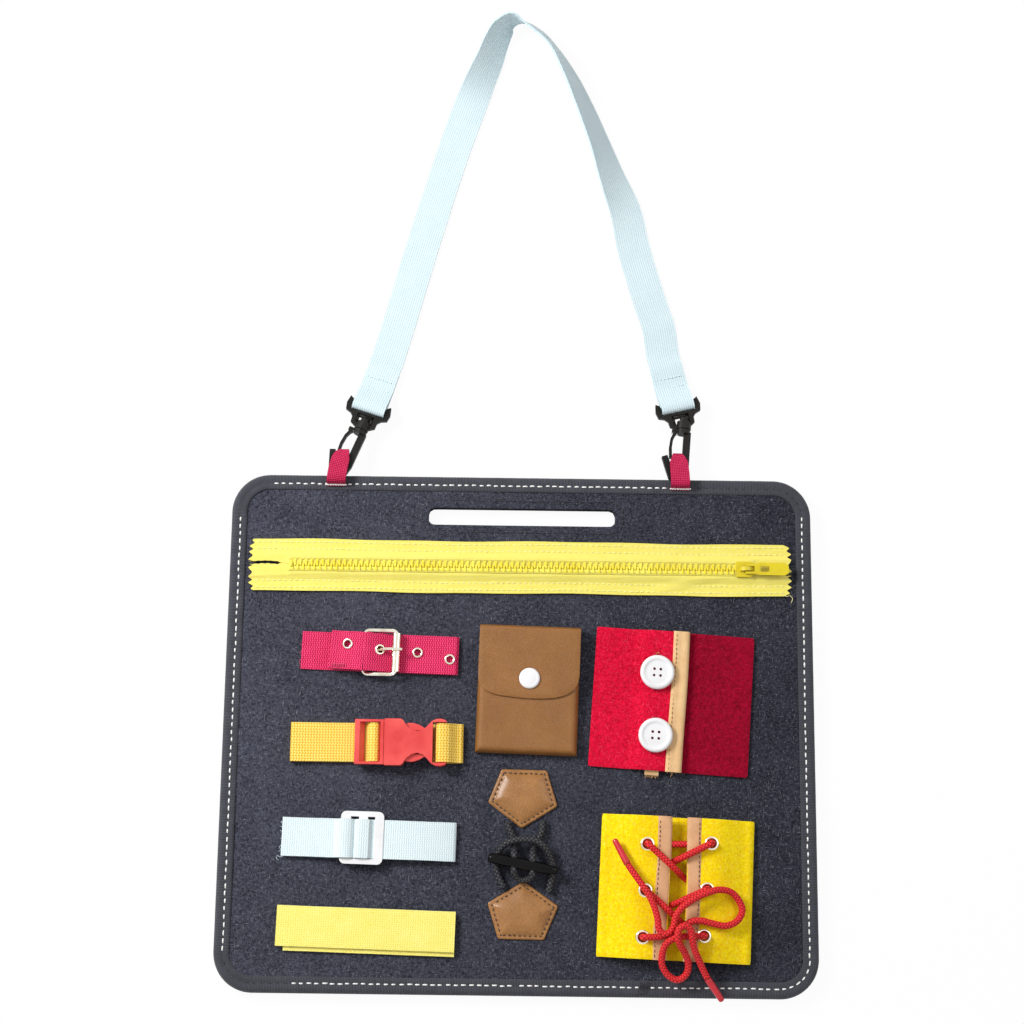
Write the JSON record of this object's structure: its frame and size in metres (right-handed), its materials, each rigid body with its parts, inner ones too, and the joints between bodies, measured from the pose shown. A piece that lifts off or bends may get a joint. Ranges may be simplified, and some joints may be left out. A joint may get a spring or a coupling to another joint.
{
  "type": "dressing skills board",
  "caption": "Felt dressing skills board with zip, belt buckle, clip, sliding buckle, hook-and-loop strip, snap pouch, toggle, buttons and lace, on a shoulder strap.",
  "frame": {"origin": "centre of the board's back face, on the plane that it lies on", "axes": "+X to the board's right, +Y towards the shoulder strap, +Z out of the front"},
  "size_m": [0.335, 0.583, 0.0303],
  "materials": {
    "navy_felt": "needle-punched felt",
    "navy_binding": "ribbed binding tape",
    "stiffener_board": "inner board",
    "red_webbing": "woven",
    "dark_red_webbing": "woven",
    "yellow_webbing": "woven",
    "blue_webbing": "woven",
    "yellow_tape": "woven tape",
    "yellow_zip_paint": "painted",
    "hook_and_loop": "loop pile",
    "black_plastic": "moulded",
    "nickel": "plated",
    "coral_plastic": "moulded",
    "white_plastic": "moulded",
    "brown_leather": "grained",
    "red_felt": "felt",
    "beige_binding": "binding tape",
    "yellow_felt": "felt",
    "black_horn": "polished",
    "black_cord": "braided",
    "red_cord": "braided",
    "red_aglet": "film"
  },
  "bodies": {
    "board": {"front_felt": "navy_felt", "stiffener_board": "stiffener_board", "back_felt": "navy_felt", "edge_binding": "navy_binding", "tab_left": "dark_red_webbing", "tab_right": "dark_red_webbing", "zip_stringer_upper": "yellow_tape", "zip_stringer_lower": "yellow_tape", "belt_base_strap": "red_webbing", "belt_strap": "red_webbing", "belt_eyelet_1": "nickel", "belt_eyelet_3": "nickel", "belt_eyelet_4": "nickel", "clip_base_strap": "yellow_webbing", "clip_strap_left": "yellow_webbing", "clip_female": "coral_plastic", "glide_strap": "blue_webbing", "hook_strip": "hook_and_loop", "pouch_body": "brown_leather", "snap_stud": "white_plastic", "toggle_patch_upper": "brown_leather", "toggle_patch_lower": "brown_leather", "toggle_cord": "black_cord", "toggle_loop": "black_cord", "button_panel": "red_felt", "lace_panel": "yellow_felt", "lace": "red_cord", "aglet_1": "red_aglet", "aglet_2": "red_aglet", "lace_eyelet_1": "nickel", "lace_eyelet_2": "nickel", "lace_eyelet_3": "nickel", "lace_eyelet_4": "nickel", "lace_eyelet_5": "nickel", "lace_eyelet_6": "nickel"},
    "strap": {"shoulder_strap": "blue_webbing", "swivel_frame_left": "black_plastic", "swivel_frame_right": "black_plastic"},
    "hook_left": {"snap_hook_left": "black_plastic"},
    "hook_right": {"snap_hook_right": "black_plastic"},
    "gate_left": {"hook_gate_left": "black_plastic"},
    "gate_right": {"hook_gate_right": "black_plastic"},
    "slider": {"zip_slider": "yellow_zip_paint"},
    "puller": {"zip_puller": "yellow_zip_paint"},
    "buckle": {"belt_buckle_frame": "nickel"},
    "prong": {"belt_prong": "nickel", "belt_eyelet_2": "nickel"},
    "roller": {"belt_roller": "nickel"},
    "clip_plug": {"clip_male": "coral_plastic"},
    "arm_upper": {"clip_arm_upper": "coral_plastic"},
    "arm_lower": {"clip_arm_lower": "coral_plastic"},
    "glide": {"tri_glide": "white_plastic"},
    "loop_strip": {"loop_strip": "hook_and_loop"},
    "flap": {"pouch_flap": "brown_leather", "snap_cap": "white_plastic"},
    "toggle": {"toggle": "black_horn"},
    "button_flap": {"button_flap": "red_felt", "button_flap_binding": "beige_binding"},
    "button_upper": {"button_upper": "white_plastic"},
    "button_lower": {"button_lower": "white_plastic"}
  },
  "joints": [
    {"name": "strap_swing", "type": "hinge", "parent": "board", "child": "strap", "pos_m": [0, 0.1457, 0.0104], "axis": [1, 0, 0], "range_deg": [0, 150], "deforming": ["tab_left", "tab_right"]},
    {"name": "hook_swivel_left", "type": "hinge", "parent": "strap", "child": "hook_left", "pos_m": [-0.0942, 0.1734, 0.0073], "axis": [0.3646, 0.9257, -0.1011], "range_deg": [-8, 8]},
    {"name": "hook_gate_left", "type": "hinge", "parent": "hook_left", "child": "gate_left", "pos_m": [-0.0998, 0.17283, 0.00756], "axis": [0.037, 0.094, 0.9949], "range_deg": [0, 20.5], "stiffness_Nm_per_rad": 0.01},
    {"name": "hook_swivel_right", "type": "hinge", "parent": "strap", "child": "hook_right", "pos_m": [0.0942, 0.176, 0.0073], "axis": [0.0729, 0.9922, -0.1011], "range_deg": [-8, 8]},
    {"name": "hook_gate_right", "type": "hinge", "parent": "hook_right", "child": "gate_right", "pos_m": [0.08902, 0.17379, 0.00756], "axis": [0.0074, 0.1008, 0.9949], "range_deg": [0, 20.5], "stiffness_Nm_per_rad": 0.01},
    {"name": "zip_slide", "type": "slide", "parent": "board", "child": "slider", "axis": [-1, 0, 0], "range_m": [0, 0.255], "deforming": ["zip_stringer_upper", "zip_stringer_lower"]},
    {"name": "zip_puller_flip", "type": "hinge", "parent": "slider", "child": "puller", "pos_m": [0.1291, 0.0929, 0.01315], "axis": [0, -1, 0], "range_deg": [0, 180]},
    {"name": "belt_buckle_tilt", "type": "hinge", "parent": "board", "child": "buckle", "pos_m": [-0.0883, 0.04261, 0.0102], "axis": [-0.0291, -0.9996, 0], "range_deg": [0, 25], "deforming": ["belt_strap"]},
    {"name": "belt_prong_lift", "type": "hinge", "parent": "buckle", "child": "prong", "pos_m": [-0.0883, 0.04261, 0.0102], "axis": [-0.0291, -0.9996, 0], "range_deg": [0, 50], "deforming": ["belt_strap"]},
    {"name": "belt_roller_spin", "type": "hinge", "parent": "buckle", "child": "roller", "pos_m": [-0.07, 0.04208, 0.0131], "axis": [-0.0291, -0.9996, 0], "continuous": true},
    {"name": "clip_release", "type": "slide", "parent": "board", "child": "clip_plug", "axis": [-1, 0, 0], "range_m": [0, 0.024], "deforming": ["clip_strap_left", "clip_arm_upper", "clip_arm_lower"]},
    {"name": "clip_arm_flex_upper", "type": "hinge", "parent": "clip_plug", "child": "arm_upper", "pos_m": [-0.0752, -0.0012, 0.0127], "axis": [0, 0, -1], "range_deg": [0, 13], "stiffness_Nm_per_rad": 0.05},
    {"name": "clip_arm_flex_lower", "type": "hinge", "parent": "clip_plug", "child": "arm_lower", "pos_m": [-0.0752, -0.016, 0.0127], "axis": [0, 0, 1], "range_deg": [0, 13], "stiffness_Nm_per_rad": 0.05},
    {"name": "glide_slide", "type": "slide", "parent": "board", "child": "glide", "axis": [0.9998, -0.0222, 0], "range_m": [-0.025, 0.025], "deforming": ["glide_strap"]},
    {"name": "strip_peel", "type": "hinge", "parent": "board", "child": "loop_strip", "pos_m": [-0.03402, -0.11248, 0.00885], "axis": [0.0258, 0.9997, 0], "range_deg": [0, 150]},
    {"name": "pouch_flap_lift", "type": "hinge", "parent": "board", "child": "flap", "pos_m": [0.006, 0.05729, 0.0145], "axis": [-0.9996, 0.0279, 0], "range_deg": [0, 150]},
    {"name": "toggle_swivel", "type": "hinge", "parent": "board", "child": "toggle", "pos_m": [0.00305, -0.0752, 0.0149], "axis": [0, 0, 1], "range_deg": [-35, 35], "deforming": ["toggle_cord", "toggle_loop"]},
    {"name": "button_flap_lift", "type": "hinge", "parent": "board", "child": "button_flap", "pos_m": [0.04159, 0.01957, 0.0074], "axis": [-0.0628, -0.998, 0], "range_deg": [0, 150], "deforming": ["button_flap", "button_flap_binding"]},
    {"name": "button_upper_turn", "type": "hinge", "parent": "board", "child": "button_upper", "pos_m": [0.07793, 0.03262, 0.0141], "axis": [0, 0, 1], "range_deg": [-45, 45]},
    {"name": "button_lower_turn", "type": "hinge", "parent": "board", "child": "button_lower", "pos_m": [0.0768, -0.00288, 0.0141], "axis": [0, 0, 1], "range_deg": [-45, 45]}
  ]
}
